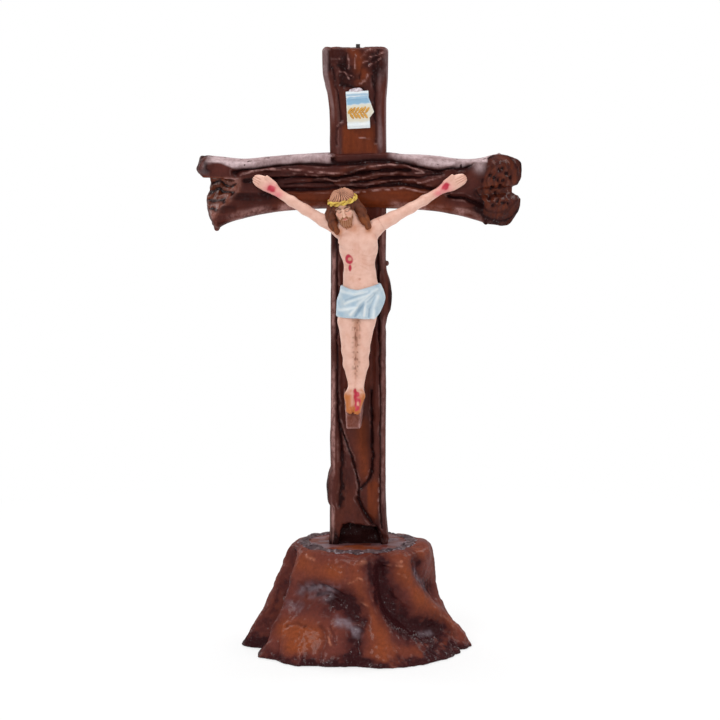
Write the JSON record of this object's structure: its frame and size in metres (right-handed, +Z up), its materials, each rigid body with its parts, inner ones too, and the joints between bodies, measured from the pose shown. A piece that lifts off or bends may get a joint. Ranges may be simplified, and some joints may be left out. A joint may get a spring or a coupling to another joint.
{
  "type": "crucifix",
  "caption": "Standing crucifix: a log cross with flared beam ends rises from a rooted tree stump and carries a pinned figure.",
  "frame": {"origin": "on the floor, at the centre of the stump's foot, under the middle of the upright post", "axes": "+Z up along the post, +X to the viewer's right along the crossbeam, -Y out of the figure's front"},
  "size_m": [0.1081, 0.0713, 0.2],
  "materials": {
    "varnished_stump": "cast resin, stained red-brown with dark hollows, gloss varnish",
    "varnished_log": "cast resin carved as bark, dark antiqued grooves, gloss varnish",
    "dark_filler": "rough dark filler, varnished over",
    "steel_rod": "plain drawn wire",
    "dowel": "bare dowel",
    "painted_plate": "pale blue and white paint with a gilt band",
    "clear_glue": "dried clear glue",
    "painted_skin": "flesh paint, satin",
    "painted_cloth": "pale blue paint with white on the folds",
    "gilt": "gold paint"
  },
  "bodies": {
    "root": {"stump_base": "varnished_stump", "stump_top_disc": "varnished_stump", "filler_bead": "dark_filler", "upright_post": "varnished_log", "crossbeam": "varnished_log", "post_rod": "steel_rod", "beam_rod": "steel_rod", "lap_pins": "dowel", "title_plate": "painted_plate", "title_glue_dab": "clear_glue", "foot_block": "varnished_log", "foot_block_peg": "dowel", "figure_body": "painted_skin", "figure_head": "painted_skin", "figure_right_arm": "painted_skin", "figure_left_arm": "painted_skin", "loincloth": "painted_cloth", "crown_band": "gilt", "neck_peg": "dowel", "shoulder_pegs": "dowel", "hand_pins": "steel_rod", "back_peg": "dowel", "foot_pin": "steel_rod"}
  },
  "joints": []
}
